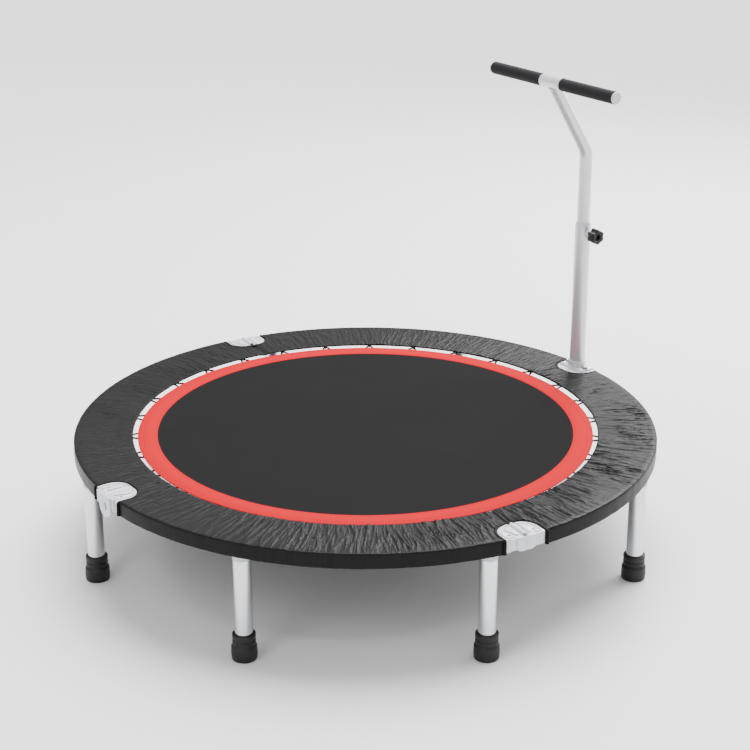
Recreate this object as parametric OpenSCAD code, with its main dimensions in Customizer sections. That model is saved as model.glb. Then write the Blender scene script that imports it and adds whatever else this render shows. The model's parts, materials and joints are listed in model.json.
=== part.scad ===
// Folding mini trampoline (rebounder) with a height-adjustable T-bar handle.
// Millimetres, +Z up. The origin is on the floor under the centre of the ring.
// Angles round the ring run from -Y (the front) towards +X (the right).

/* [Ring] */
// Outer radius of the safety pad, which is the radius of the whole ring
pad_r = 610; // [560:1:760]
// Height of the pad's top above the floor
pad_top_z = 248; // [200:1:320]
// Radial width of the safety pad
pad_w = 122; // [112:1:150]
// Height of the skirt that hangs from the pad's outer edge
skirt_h = 30.5; // [24:0.5:40]
// Angle of the line on which the two halves fold
fold_deg = 29; // [29:1:36]
// Angle of the second hinge line, which the handle post locks
cross_deg = 125; // [119:1:127]

/* [Frame tube] */
// Outer diameter of the bent frame tube
tube_d = 25; // [20:0.5:30]
// Wall of the frame tube
tube_wall = 1.5; // [1:0.1:3]
// Distance from the pad's outer edge to the tube's centreline
ring_inset = 18; // [17:0.5:24]

/* [Legs] */
// Outer diameter of the chrome leg tube
leg_d = 35; // [28:0.5:42]
// Wall of the leg tube
leg_wall = 1.5; // [1:0.1:3]
// Length of the threaded neck under the frame tube
socket_h = 9; // [6:0.5:16]
// Diameter of the leg's screw stud
stud_d = 10; // [8:0.5:12]
// Height of the rubber foot
foot_h = 54; // [40:1:70]
// Height of the foot's wide base
foot_base_h = 29; // [20:1:34]
// Rubber round the leg at the foot's cuff
cuff_wall = 3.5; // [2.5:0.5:5]
// How far the foot's base stands out past its cuff
foot_flare = 4; // [2:0.5:8]
// Rubber under the end of the leg
foot_floor = 10; // [6:1:16]

/* [Mat] */
// Drop from the pad's top to the mat's top
mat_drop = 6; // [5:0.5:10]
// Clear ring between the mat and the pad
mat_gap = 10; // [6:1:20]
// Width of the coloured border band
border_w = 41; // [25:1:60]
// Thickness of the woven mat
fabric_t = 1.2; // [0.8:0.1:2]
// Thickness of the border band
border_t = 0.6; // [0.4:0.1:1]
// Thickness of the webbing under the mat's edge
webbing_t = 1.2; // [0.8:0.1:2]
// Width of the webbing under the mat's edge
webbing_w = 21; // [18:1:30]
// Space between the two halves of the mat at the crease
crease_gap = 0.5; // [0.4:0.1:2]
// Width of the tape sewn under each side of the crease
tape_w = 14; // [8:1:24]

/* [Springs] */
// Number of springs in each of the two wider quarters
springs_wide = 8; // [5:1:9]
// Number of springs in each of the two narrower quarters
springs_narrow = 7; // [4:1:8]
// Outer diameter of a spring's coil
spring_d = 9; // [7:0.5:10]
// Diameter of the spring wire
spring_wire = 2; // [1.6:0.1:2.4]
// Diameter of the V-ring wire
vring_wire = 4; // [3:0.5:4]
// Width of a V-ring along the mat's edge
vring_w = 36; // [28:1:44]
// Distance from the mat's edge out to the V-ring's tip
vring_reach = 26; // [20:1:30]
// Distance from the mat's edge in to the V-ring's bar
vring_inset = 10; // [8:1:12]
// Wire diameter of a spring eye on the frame tube
eye_wire = 3; // [2.5:0.5:3.5]
// Centreline radius of a spring eye
eye_r = 5; // [4.5:0.5:6]

/* [Pad] */
// Thickness of the vinyl cover in this model
cover_t = 1.8; // [1.2:0.1:2.5]
// Thickness of the foam under the cover
foam_t = 2.8; // [2:0.2:6]
// Space between the foam and the frame tube
foam_gap = 0.9; // [0.6:0.1:2]
// Half width of the notch that bares each hinge bracket
notch_half_w = 47; // [44:1:54]
// Depth of that notch
notch_depth = 60; // [58:1:70]
// Space between the pad's two halves across the fold line
pad_fold_gap = 16; // [14:1:30]

/* [Hinge brackets] */
// Half width of a bracket's top plate
plate_half_w = 42; // [40:0.5:43]
// Depth of the top plate from its outer face
plate_depth = 56; // [50:0.5:57]
// Corner radius at the inner end of the top plate
plate_corner = 34; // [24:1:38]
// Thickness of the bracket's steel
plate_t = 3; // [2:0.5:4]
// Wall of the sleeve that holds the end of the frame tube
sleeve_wall = 2.5; // [2:0.1:4]
// Length of that sleeve along the tube
sleeve_len = 36; // [34:1:39]
// Diameter of the fold hinge's knuckles
knuckle_d = 9; // [8:0.5:12]
// Diameter of the fold hinge's pin
hinge_pin_d = 5; // [4:0.5:6]
// Radius of the rounded ear on the second hinge line
ear_r = 22.5; // [18:0.5:24]
// Drop from the pad's top to the ear's pivot
ear_drop = 26.5; // [24:0.5:32]
// Diameter of the ear's pivot rivet
ear_pin_d = 8; // [6:0.5:10]
// Half width of the boss on the fold bracket's face
boss_half_w = 20.5; // [16:0.5:24]
// Diameter of the bracket bolts
bolt_d = 6; // [5:0.5:8]

/* [Handle post] */
// Outer diameter of the lower post
post_d = 35; // [30:0.5:42]
// Wall of the lower post
post_wall = 1.5; // [1.2:0.1:2.5]
// Length of the lower post above its foot plate
post_len = 341; // [280:1:420]
// Outer diameter of the sliding upper post
stem_d = 28; // [22:0.5:28]
// Wall of the upper post
stem_wall = 1.5; // [1.2:0.1:2.5]
// Length of the upper post that stays inside the lower post
stem_inside = 216; // [150:1:230]
// Height of the bend above the lower post's top
bend_up = 161; // [150:1:200]
// Centreline radius of the bend
bend_r = 60; // [45:1:80]
// Height of the crossbar above the bend
bar_up = 164; // [120:1:200]
// How far the crossbar stands inwards of the post
bar_in = 104; // [60:1:140]
// Thickness of the foot plate
foot_plate_t = 4; // [3:0.5:6]
// Height of the collar on the foot plate
collar_h = 14; // [10:1:30]
// Wall of that collar
collar_wall = 3; // [2:0.5:5]
// Diameter of the two post bolts
post_bolt_d = 8; // [6:0.5:10]

/* [Crossbar] */
// Outer diameter of the crossbar tube
bar_d = 22; // [18:0.5:25]
// Wall of the crossbar tube
bar_wall = 1.5; // [1.2:0.1:2.5]
// Length of the crossbar with its end caps
bar_len = 400; // [320:1:480]
// Wall of the foam grips
grip_wall = 2.5; // [2:0.5:6]
// Length of the steel sleeve in the middle
tee_len = 64; // [50:1:90]
// Wall of that sleeve
tee_wall = 2.5; // [2:0.5:4]
// Thickness of the flange of an end cap
cap_t = 4; // [2:0.5:6]

/* [Clamp knob] */
// Diameter across the knob's lobes
knob_d = 34; // [28:1:44]
// Thickness of the knob
knob_t = 22; // [16:1:30]
// Diameter of the clamp screw
screw_d = 8; // [6:0.5:10]
// Drop from the lower post's top to the clamp screw
screw_drop = 24; // [20:1:40]
// Length of the threaded boss on the post
boss_len = 9; // [6:0.5:14]

/* [Clearances] */
// Radial clearance of parts that turn or slide in each other
run_clear = 0.05; // [0.02:0.01:0.1]
// Radial clearance of parts that are fixed in each other
fix_clear = 0.03; // [0.02:0.01:0.1]
// Space between the two halves of the frame at the fold
butt_gap = 0.5; // [0.4:0.1:1]
// Air kept between parts that must not touch
air = 0.5; // [0.3:0.1:1]

/* [Hidden] */
$fn = 48;

// colours of the finishes
black_vinyl = "#2b2b2b";
black_weave = "#3a3a3a";
red_band = "#ff4a50";
chrome = "#c9ccd1";
satin = "#c4c4cc";
zinc = "#aeb2b8";
black_rubber = "#1c1c1c";
foam_grey = "#8c8c8c";

// radii
ring_r = pad_r - ring_inset;
pad_in_r = pad_r - pad_w;
mat_r = pad_in_r - mat_gap;
border_in_r = mat_r - border_w;
face_r = pad_r - 2;
sleeve_r = tube_d / 2 + sleeve_wall;

// heights
tube_top_z = pad_top_z - cover_t - foam_t - foam_gap;
tube_z = tube_top_z - tube_d / 2;
skirt_z = pad_top_z - skirt_h;
mat_top_z = pad_top_z - mat_drop;
fabric_top_z = mat_top_z - border_t;
webbing_top_z = fabric_top_z - fabric_t;
vring_z = webbing_top_z - webbing_t - 0.1 - vring_wire / 2;
plate_z = tube_top_z + air;
plate_top_z = plate_z + plate_t;
axis_z = plate_top_z + 0.5;
socket_z = tube_z - tube_d / 2 - socket_h;
ear_z = pad_top_z - ear_drop;

// springs
loop_wall = 1.2;
hook_r = vring_wire / 2 + spring_wire / 2 + 1.2;
vring_tip_r = mat_r + vring_reach - vring_wire / 2;
hook_in_r = vring_tip_r;
eye_dz = vring_z - tube_z;
eye_centre_r = ring_r - sqrt(pow(tube_d / 2, 2) - eye_dz * eye_dz) - eye_r;
hook_out_r = eye_centre_r - eye_r;

// hinges
knuckle_in_r = ring_r - 34;
knuckle_out_r = ring_r + 12;
knuckle_len = (knuckle_out_r - knuckle_in_r) / 3;
pin_head_t = 1.5;
relief_r = knuckle_d / 2 + air;
ear_t = 3;
bracket_bolt_x = sleeve_len - 9;

// handle
post_base_z = plate_top_z + foot_plate_t;
post_top_z = post_base_z + post_len;
swage_h = 8;
bend_z = post_top_z + bend_up;
bar_z = bend_z + bar_up;
lean = atan2(bar_in, bar_up);
bend_start_z = bend_z - bend_r * tan(lean / 2);
bushing_len = 50;
screw_z = post_top_z - screw_drop;
post_bolt_x = post_d / 2 + collar_wall + post_bolt_d * 0.81 + 1;
tee_r = bar_d / 2 + tee_wall;
boss_end_x = post_d / 2 + boss_len;
knob_x = boss_end_x + 4;

// angles of the two rear or two front quarters' springs, from the fold line on
wide_deg = cross_deg - fold_deg;
narrow_deg = 180 - wide_deg;
function spring_angles(start) = concat(
  [for (i = [0 : springs_wide - 1]) start + (i + 0.5) * wide_deg / springs_wide],
  [for (i = [0 : springs_narrow - 1]) start + wide_deg + (i + 0.5) * narrow_deg / springs_narrow]);

// angles of the four legs of one half
leg_pitch = 45;
function leg_angles(first) = [for (i = [0 : 3]) first + leg_pitch * i];
rear_legs = leg_angles(67.5);
front_legs = leg_angles(-112.5);

// --- helpers: children are drawn at the front (-Y) and turned to angle a ---
module at(a) { rotate([0, 0, a]) children(); }

module arc(a1, a2) { rotate([0, 0, a1 - 90]) rotate_extrude(angle = a2 - a1, $fn = 180) children(); }

module annulus(outer, inner) {
  difference() {
    circle(r = outer);
    circle(r = inner);
  }
}

// a rod whose axis runs along the ring's radius, from radius r1 to r2
module radial_rod(r1, r2, z, r) { translate([0, -r1, z]) rotate([90, 0, 0]) cylinder(r = r, h = r2 - r1); }

// a rod along the tangent, from x1 to x2, at radius rr and height z
module tangent_rod(x1, x2, rr, z, r) {
  translate([x1, -rr, z]) rotate([0, 90, 0]) cylinder(r = r, h = x2 - x1);
}

// a slab on the fold line, which separates the two halves
module fold_slab(w) {
  at(fold_deg) translate([-w / 2, -1.2 * pad_r, 0]) cube([w, 2.4 * pad_r, 2 * pad_top_z]);
}

// D-shaped outline with its flat side at radius outer
module d_shape(half_w, depth, corner, outer) {
  translate([-half_w, -outer]) square([2 * half_w, depth - corner]);
  translate([-(half_w - corner), -outer]) square([2 * (half_w - corner), depth]);
  for (s = [-1, 1])
    translate([s * (half_w - corner), -(outer - depth + corner)]) circle(r = corner);
}

module notch(grow) {
  translate([0, 0, skirt_z - 5])
    linear_extrude(skirt_h + 10)
      d_shape(notch_half_w + grow, notch_depth + 20 + grow, plate_corner + 4, pad_r + 20);
}

// --- frame ---
module frame_tube(a1, a2) {
  gap = asin(butt_gap / 2 / ring_r);
  color(satin) difference() {
    arc(a1 + gap, a2 - gap) translate([ring_r, tube_z]) annulus(tube_d / 2, tube_d / 2 - tube_wall);
    for (a = [fold_deg, fold_deg + 180])
      at(a) radial_rod(knuckle_in_r - 5, knuckle_out_r + 5, axis_z, relief_r);
    for (a = [fold_deg, fold_deg + 180, cross_deg + 180], s = [-1, 1])
      at(a) translate([s * bracket_bolt_x, -ring_r, socket_z - 10])
        cylinder(d = bolt_d + 2 * fix_clear, h = tube_z - socket_z + 10);
    for (s = [-1, 1])
      at(cross_deg) translate([s * post_bolt_x, -ring_r, socket_z - 10])
        cylinder(d = post_bolt_d + 2 * fix_clear, h = 80);
    for (a = concat(rear_legs, front_legs))
      at(a) translate([0, -ring_r, socket_z]) cylinder(d = stud_d + 2 * fix_clear, h = tube_z - socket_z);
  }
}

module spring_eyes(angles) {
  color(zinc) for (a = angles)
    at(a) translate([0, -eye_centre_r, vring_z]) rotate_extrude($fn = 32)
      translate([eye_r, 0]) circle(d = eye_wire, $fn = 16);
}

// --- legs ---
module leg_sockets(angles) {
  color(satin) difference() {
    for (a = angles) at(a) translate([0, -ring_r, socket_z]) cylinder(d = leg_d, h = socket_h + tube_d / 4);
    rotate_extrude($fn = 180) translate([ring_r, tube_z]) circle(r = tube_d / 2 + fix_clear);
    rotate_extrude($fn = 180) translate([face_r - air, skirt_z - air]) square([leg_d, tube_d]);
    for (a = angles)
      at(a) translate([0, -ring_r, socket_z - 1]) cylinder(d = stud_d + 2 * fix_clear, h = socket_h + tube_d);
  }
}

module leg_tubes(angles) {
  color(chrome) for (a = angles)
    at(a) translate([0, -ring_r, foot_floor]) difference() {
      cylinder(d = leg_d, h = socket_z - foot_floor - 0.2);
      translate([0, 0, -1]) cylinder(d = leg_d - 2 * leg_wall, h = socket_z);
    }
}

module leg_studs(angles) {
  plug_h = 12;
  color(zinc) for (a = angles)
    at(a) translate([0, -ring_r, socket_z - 0.2 - plug_h]) {
      cylinder(d = leg_d - 2 * leg_wall - 2 * fix_clear, h = plug_h);
      cylinder(d = stud_d, h = plug_h + socket_h + tube_wall + 6);
    }
}

module rubber_feet(angles) {
  bore_r = leg_d / 2 + fix_clear;
  cuff_r = leg_d / 2 + cuff_wall;
  base_r = cuff_r + foot_flare;
  rib = 1.2;
  color(black_rubber) for (a = angles)
    at(a) translate([0, -ring_r, 0]) rotate_extrude($fn = 48)
      polygon([[0, 0], [base_r - 3, 0], [base_r, 3], [base_r, foot_base_h - 4],
        [base_r - 2, foot_base_h - 2], [base_r - 2, foot_base_h],
        [cuff_r, foot_base_h + 2], [cuff_r, foot_base_h + 6],
        [cuff_r + rib, foot_base_h + 7], [cuff_r + rib, foot_base_h + 10], [cuff_r, foot_base_h + 11],
        [cuff_r, foot_h - 8], [cuff_r + rib, foot_h - 7], [cuff_r + rib, foot_h - 1],
        [cuff_r, foot_h], [bore_r, foot_h], [bore_r, foot_floor], [0, foot_floor]]);
}

// --- mat ---
module half_disc(a, r_in, r_out, z1, z2) {
  difference() {
    arc(a, a + 180) translate([r_in, z1]) square([r_out - r_in, z2 - z1]);
    fold_slab(crease_gap);
  }
}

module mat_fabric(a) { color(black_weave) half_disc(a, 0, mat_r, webbing_top_z, fabric_top_z); }

module mat_border(a) { color(red_band) half_disc(a, border_in_r, mat_r, fabric_top_z, mat_top_z); }

module mat_webbing(a, angles) {
  loop_w = vring_w - 12;
  loop_r = vring_wire / 2 + 0.2;
  band_z = webbing_top_z - webbing_t;
  color(black_vinyl) {
    half_disc(a, mat_r - 2 - webbing_w, mat_r - 2, band_z, webbing_top_z);
    for (b = angles) at(b) difference() {
      tangent_rod(-loop_w / 2, loop_w / 2, mat_r - vring_inset, vring_z, loop_r + loop_wall);
      tangent_rod(-loop_w, loop_w, mat_r - vring_inset, vring_z, loop_r);
      translate([-loop_w, -mat_r, webbing_top_z - webbing_t / 2]) cube([2 * loop_w, 40, 10]);
    }
  }
}

// tape under the mat beside the crease; s is the side, +1 or -1
module crease_tape(s) {
  tape_air = 0.3;
  tape_r = mat_r - webbing_w - 5;
  color(black_vinyl) at(fold_deg)
    translate([s > 0 ? crease_gap / 2 : -tape_w, -tape_r, webbing_top_z - webbing_t - tape_air])
      cube([tape_w - crease_gap / 2, 2 * tape_r, webbing_t]);
}

// a wire triangle: a bar in the webbing loop and two sides that meet in a round tip
module v_ring() {
  half = vring_w / 2;
  bar_r = mat_r - vring_inset;
  tip_half = 3;
  over = vring_wire / 2;
  side_d = vring_wire - 0.2;
  side = norm([half - tip_half, vring_tip_r - bar_r]);
  turn = atan2(half - tip_half, vring_tip_r - bar_r);
  tangent_rod(-half - over, half + over, bar_r, vring_z, vring_wire / 2);
  tangent_rod(-tip_half - over, tip_half + over, vring_tip_r, vring_z, vring_wire / 2);
  for (s = [-1, 1])
    translate([s * half, -bar_r, vring_z]) rotate([90, 0, -s * turn])
      cylinder(d = side_d, h = side, $fn = 24);
}

module v_rings(angles) { color("#202020") for (a = angles) at(a) v_ring(); }

// a close-wound coil with a round hook at each end
module spring() {
  coil_in_r = hook_in_r + hook_r;
  coil_out_r = hook_out_r - hook_r;
  radial_rod(coil_in_r, coil_out_r, vring_z, spring_d / 2);
  for (r = [hook_in_r, hook_out_r])
    translate([0, -r, vring_z]) rotate([0, 90, 0]) rotate_extrude($fn = 32)
      translate([hook_r, 0]) circle(d = spring_wire, $fn = 16);
}

module springs(angles) { color(zinc) for (a = angles) at(a) spring(); }

// --- safety pad ---
module pad_cover(a) {
  color(black_vinyl) difference() {
    arc(a, a + 180) polygon([[pad_in_r, pad_top_z - cover_t], [pad_r - 2, pad_top_z - cover_t],
      [pad_r - 2, skirt_z], [pad_r, skirt_z], [pad_r, pad_top_z], [pad_in_r, pad_top_z]]);
    fold_slab(pad_fold_gap);
    for (b = [fold_deg, cross_deg]) {
      at(b) notch(0);
      at(b + 180) notch(0);
    }
  }
}

module pad_foam(a) {
  foam_top_z = pad_top_z - cover_t;
  color(foam_grey) difference() {
    arc(a, a + 180) translate([pad_in_r + 3, foam_top_z - foam_t]) square([pad_w - 7, foam_t]);
    fold_slab(pad_fold_gap);
    for (b = [fold_deg, cross_deg]) {
      at(b) notch(1);
      at(b + 180) notch(1);
    }
  }
}

// --- hinge brackets; s is the side of the hinge line, +1 or -1 ---
module side_box(s, x1, x2, r1, r2, z1, z2) {
  translate([s > 0 ? x1 : -x2, -r2, z1]) cube([x2 - x1, r2 - r1, z2 - z1]);
}

// top plate, outer face and tube sleeve of one leaf
module leaf_body(s) {
  gap = butt_gap / 2;
  gap_deg = asin(gap / ring_r);
  sleeve_deg = asin(sleeve_len / ring_r);
  translate([0, 0, plate_z]) linear_extrude(plate_t) intersection() {
    d_shape(plate_half_w, plate_depth, plate_corner, face_r);
    translate([s > 0 ? gap : -plate_half_w, -pad_r]) square([plate_half_w - gap, pad_r]);
  }
  side_box(s, gap, plate_half_w, face_r - plate_t, face_r, skirt_z + 3, plate_top_z);
  arc(s > 0 ? gap_deg : -sleeve_deg, s > 0 ? sleeve_deg : -gap_deg)
    translate([ring_r, tube_z]) circle(r = sleeve_r);
}

// bores of one leaf: the frame tube's end and the bolt hole
module leaf_bores(s, bolt_x, hole_d) {
  rotate_extrude($fn = 180) translate([ring_r, tube_z]) circle(r = tube_d / 2 + fix_clear);
  translate([s * bolt_x, -ring_r, socket_z - 10]) cylinder(d = hole_d + 2 * fix_clear, h = 80);
}

// boss on the outer face of a fold bracket, with its lower corner rounded
module face_boss(s) {
  corner = 10;
  gap = butt_gap / 2;
  side_box(s, gap, boss_half_w, face_r - 1, face_r + 3, skirt_z + corner, plate_top_z);
  side_box(s, gap, boss_half_w - corner, face_r - 1, face_r + 3, skirt_z, skirt_z + corner + 1);
  translate([s * (boss_half_w - corner), 0, 0])
    radial_rod(face_r - 1, face_r + 3, skirt_z + corner, corner);
}

module knuckle(i) {
  radial_rod(knuckle_in_r + i * knuckle_len + (i > 0 ? air / 2 : 0),
    knuckle_in_r + (i + 1) * knuckle_len - (i < 2 ? air / 2 : 0), axis_z, knuckle_d / 2);
}

module fold_leaf(s, own, pin_clear) {
  difference() {
    union() {
      difference() {
        union() {
          leaf_body(s);
          face_boss(s);
        }
        radial_rod(knuckle_in_r - 5, knuckle_out_r + 5, axis_z, relief_r);
        leaf_bores(s, bracket_bolt_x, bolt_d);
      }
      for (i = own) {
        knuckle(i);
        side_box(s, 1, relief_r + 1, knuckle_in_r + i * knuckle_len + air / 2,
          knuckle_in_r + (i + 1) * knuckle_len - air / 2, plate_z, plate_top_z);
      }
    }
    radial_rod(knuckle_in_r - 5, knuckle_out_r + 5, axis_z, hinge_pin_d / 2 + pin_clear);
    rotate_extrude($fn = 180) translate([ring_r, tube_z]) circle(r = tube_d / 2 + fix_clear);
  }
}

module fold_pin() {
  color(zinc) {
    radial_rod(knuckle_in_r - pin_head_t, knuckle_out_r + pin_head_t, axis_z, hinge_pin_d / 2);
    radial_rod(knuckle_in_r - pin_head_t, knuckle_in_r - 0.1, axis_z, knuckle_d / 2 - 0.5);
    radial_rod(knuckle_out_r + 0.1, knuckle_out_r + pin_head_t, axis_z, knuckle_d / 2 - 0.5);
  }
}

// ear of the second hinge line: a plate with a round end, pivoted on a rivet
module ear(r1) {
  difference() {
    union() {
      radial_rod(r1, r1 + ear_t, ear_z, ear_r);
      translate([-ear_r, -(r1 + ear_t), ear_z]) cube([2 * ear_r, ear_t, plate_top_z - ear_z]);
    }
    radial_rod(r1 - 1, r1 + ear_t + 1, ear_z, ear_pin_d / 2 + run_clear);
  }
}

// the top plate ends at the outer face, so that it clears the other leaf's ear
module cross_leaf(s, ear_at, bolt_x, hole_d) {
  difference() {
    leaf_body(s);
    leaf_bores(s, bolt_x, hole_d);
    radial_rod(face_r - 10, face_r + 1, ear_z, ear_pin_d / 2 + 4);
    translate([-pad_r, -2 * pad_r, plate_z - 1]) cube([2 * pad_r, 2 * pad_r - face_r, plate_t + 2]);
  }
  ear(ear_at);
  side_box(s, ear_r - 1, ear_r + 8, ear_at, ear_at + ear_t, ear_z, plate_top_z);
  side_box(s, ear_r + air, ear_r + 8, face_r - 1, ear_at + 1, ear_z, plate_top_z);
}

module cross_rivet() {
  front_r = face_r + 2 * ear_t + 2 * air;
  head_r = ear_pin_d / 2 + 3;
  color(zinc) {
    radial_rod(face_r - 1, front_r + 1, ear_z, ear_pin_d / 2);
    radial_rod(face_r - 1, face_r + air - 0.1, ear_z, head_r);
    radial_rod(front_r + 0.1, front_r + 2, ear_z, head_r);
  }
}

module bracket_bolt(x) {
  head_h = 3.5;
  under_z = tube_z - sleeve_r;
  translate([x, -ring_r, under_z - head_h - 0.1]) {
    cylinder(d = bolt_d * 1.8, h = head_h, $fn = 6);
    cylinder(d = bolt_d, h = head_h + sleeve_wall + tube_wall + 5);
  }
}

// --- handle ---
module post_place() { at(cross_deg) translate([0, -ring_r, 0]) children(); }

// drawn at the post with +X along the ring and +Y inwards
module post_foot_shape() {
  half_x = post_bolt_x + post_bolt_d;
  out_y = face_r - ring_r;
  in_y = post_d / 2 + 2;
  difference() {
    union() {
      translate([-half_x, -out_y, plate_top_z]) cube([2 * half_x, out_y + in_y, foot_plate_t]);
      translate([0, 0, plate_top_z]) cylinder(r = post_d / 2 + collar_wall, h = foot_plate_t + collar_h);
    }
    translate([0, 0, post_base_z]) cylinder(r = post_d / 2 + fix_clear, h = collar_h + 1);
    for (s = [-1, 1])
      translate([s * post_bolt_x, 0, plate_top_z - 1])
        cylinder(d = post_bolt_d + 2 * fix_clear, h = foot_plate_t + 2);
  }
}

module post_bolts_shape() {
  nut_top_z = tube_z - sleeve_r;
  for (s = [-1, 1]) translate([s * post_bolt_x, 0, 0]) {
    translate([0, 0, nut_top_z - 8]) cylinder(d = post_bolt_d, h = post_base_z + 1 - nut_top_z + 8);
    translate([0, 0, post_base_z + 0.1]) cylinder(d = post_bolt_d * 1.6, h = 5, $fn = 6);
  }
}

module post_nuts_shape() {
  nut_top_z = tube_z - sleeve_r - 0.1;
  for (s = [-1, 1]) translate([s * post_bolt_x, 0, nut_top_z - 6.5]) difference() {
    cylinder(d = post_bolt_d * 1.6, h = 6.5, $fn = 6);
    translate([0, 0, -1]) cylinder(d = post_bolt_d + 2 * fix_clear, h = 9);
  }
}

// tube with its mouth drawn in round the sliding stem
module lower_post_shape() {
  r = post_d / 2;
  mouth_r = stem_d / 2 + 0.4;
  difference() {
    rotate_extrude() polygon([[r - post_wall, post_base_z], [r, post_base_z], [r, post_top_z - swage_h],
      [r - 0.8, post_top_z - swage_h / 2], [mouth_r + 1.2, post_top_z], [mouth_r, post_top_z],
      [mouth_r, post_top_z - post_wall], [r - post_wall, post_top_z - swage_h]]);
    translate([0, 0, screw_z]) rotate([0, -90, 0]) cylinder(d = screw_d + 1, h = post_d);
  }
}

module post_bushing_shape() {
  top_z = post_top_z - swage_h - 0.2;
  difference() {
    translate([0, 0, top_z - bushing_len]) cylinder(r = post_d / 2 - post_wall - fix_clear, h = bushing_len);
    translate([0, 0, top_z - bushing_len - 1]) cylinder(r = stem_d / 2 + run_clear, h = bushing_len + 2);
    translate([0, 0, screw_z]) rotate([0, -90, 0]) cylinder(d = screw_d + 1, h = post_d);
  }
}

module clamp_boss_shape() {
  difference() {
    translate([-boss_end_x, 0, screw_z]) rotate([0, 90, 0]) cylinder(d = screw_d * 2, h = boss_len + 3);
    translate([0, 0, screw_z - 20]) cylinder(r = post_d / 2 + fix_clear, h = 40);
    translate([-boss_end_x - 1, 0, screw_z]) rotate([0, 90, 0])
      cylinder(r = screw_d / 2 + run_clear, h = post_d);
  }
}

// the bend swells a little and laps both straight stretches by a degree
module upper_post_shape() {
  r = stem_d / 2;
  bore = r - stem_wall;
  lap = 1;
  swell = 0.05;
  end_y = bend_r - bend_r * cos(lean);
  end_z = bend_start_z + bend_r * sin(lean);
  reach = norm([bar_in, bar_up]) - bend_r * tan(lean / 2) - tee_r / 2;
  difference() {
    union() {
      translate([0, 0, post_top_z - stem_inside]) difference() {
        cylinder(r = r, h = bend_start_z - post_top_z + stem_inside);
        translate([0, 0, -1]) cylinder(r = bore, h = 2 + bend_start_z - post_top_z + stem_inside);
      }
      translate([0, bend_r, bend_start_z]) rotate([90, 0, -90]) rotate([0, 0, -lap])
        rotate_extrude(angle = lean + 2 * lap, $fn = 96)
          translate([bend_r, 0]) annulus(r + swell, bore - swell);
      translate([0, end_y, end_z]) rotate([-lean, 0, 0]) difference() {
        cylinder(r = r, h = reach);
        translate([0, 0, -1]) cylinder(r = bore, h = reach + 2);
      }
    }
    translate([-stem_d, bar_in, bar_z]) rotate([0, 90, 0]) cylinder(r = tee_r + fix_clear, h = 2 * stem_d);
  }
}

module bar_tube(x1, x2, outer, inner) {
  translate([x1, bar_in, bar_z]) rotate([0, 90, 0]) difference() {
    cylinder(r = outer, h = x2 - x1);
    translate([0, 0, -1]) cylinder(r = inner, h = x2 - x1 + 2);
  }
}

module grip(s) {
  inner_x = tee_len / 2 + 0.3;
  outer_x = bar_len / 2 - cap_t - 0.3;
  color(black_rubber) post_place()
    bar_tube(s > 0 ? inner_x : -outer_x, s > 0 ? outer_x : -inner_x,
      bar_d / 2 + grip_wall, bar_d / 2 + fix_clear);
}

module end_cap(s) {
  plug_len = 14;
  color(satin) post_place() translate([0, bar_in, bar_z]) {
    translate([s > 0 ? bar_len / 2 - cap_t : -bar_len / 2, 0, 0]) rotate([0, 90, 0])
      cylinder(r = bar_d / 2 + grip_wall - 0.5, h = cap_t);
    translate([s > 0 ? bar_len / 2 - cap_t - plug_len : -bar_len / 2 + cap_t - 1, 0, 0]) rotate([0, 90, 0])
      cylinder(r = bar_d / 2 - bar_wall - fix_clear, h = plug_len + 1);
  }
}

module knob_shape() {
  lobe_r = knob_d / 6.8;
  translate([-knob_x - knob_t, 0, screw_z]) rotate([0, 90, 0]) difference() {
    union() {
      cylinder(r = knob_d / 2 - lobe_r * 0.8, h = knob_t);
      for (i = [0 : 5]) rotate([0, 0, i * 60]) translate([knob_d / 2 - lobe_r, 0, 0])
        cylinder(r = lobe_r, h = knob_t);
    }
    translate([0, 0, knob_t - 10]) cylinder(r = screw_d / 2 + fix_clear, h = 11);
  }
}

module clamp_screw_shape() {
  tip_x = stem_d / 2 + 0.3;
  translate([-knob_x - 9.5, 0, screw_z]) rotate([0, 90, 0]) cylinder(d = screw_d, h = knob_x + 9.5 - tip_x);
}

// --- one module per sub-part ---
rear_springs = spring_angles(fold_deg);
front_springs = spring_angles(fold_deg + 180);

module frame_tube_right() { frame_tube(fold_deg, cross_deg); }
module frame_tube_back() { frame_tube(cross_deg, fold_deg + 180); }
module frame_tube_left() { frame_tube(fold_deg + 180, cross_deg + 180); }
module frame_tube_front() { frame_tube(cross_deg + 180, fold_deg + 360); }
module near_hinge_fixed_leaf() { color(satin) at(fold_deg) fold_leaf(1, [0, 2], fix_clear); }
module near_hinge_moving_leaf() { color(satin) at(fold_deg) fold_leaf(-1, [1], run_clear); }
module near_hinge_pin() { at(fold_deg) fold_pin(); }
module far_hinge_fixed_leaf() { color(satin) at(fold_deg + 180) fold_leaf(-1, [0, 2], fix_clear); }
module far_hinge_moving_leaf() { color(satin) at(fold_deg + 180) fold_leaf(1, [1], run_clear); }
module far_hinge_pin() { at(fold_deg + 180) fold_pin(); }
module left_bracket_leaf() {
  color(satin) at(cross_deg + 180) cross_leaf(1, face_r + air, bracket_bolt_x, bolt_d);
}
module left_bracket_ear_leaf() {
  color(satin) at(cross_deg + 180) cross_leaf(-1, face_r + ear_t + 2 * air, bracket_bolt_x, bolt_d);
}
module left_bracket_rivet() { at(cross_deg + 180) cross_rivet(); }
module right_bracket_leaf() {
  color(satin) at(cross_deg) cross_leaf(1, face_r + air, post_bolt_x, post_bolt_d);
}
module right_bracket_ear_leaf() {
  color(satin) at(cross_deg) cross_leaf(-1, face_r + ear_t + 2 * air, post_bolt_x, post_bolt_d);
}
module right_bracket_rivet() { at(cross_deg) cross_rivet(); }
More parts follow.
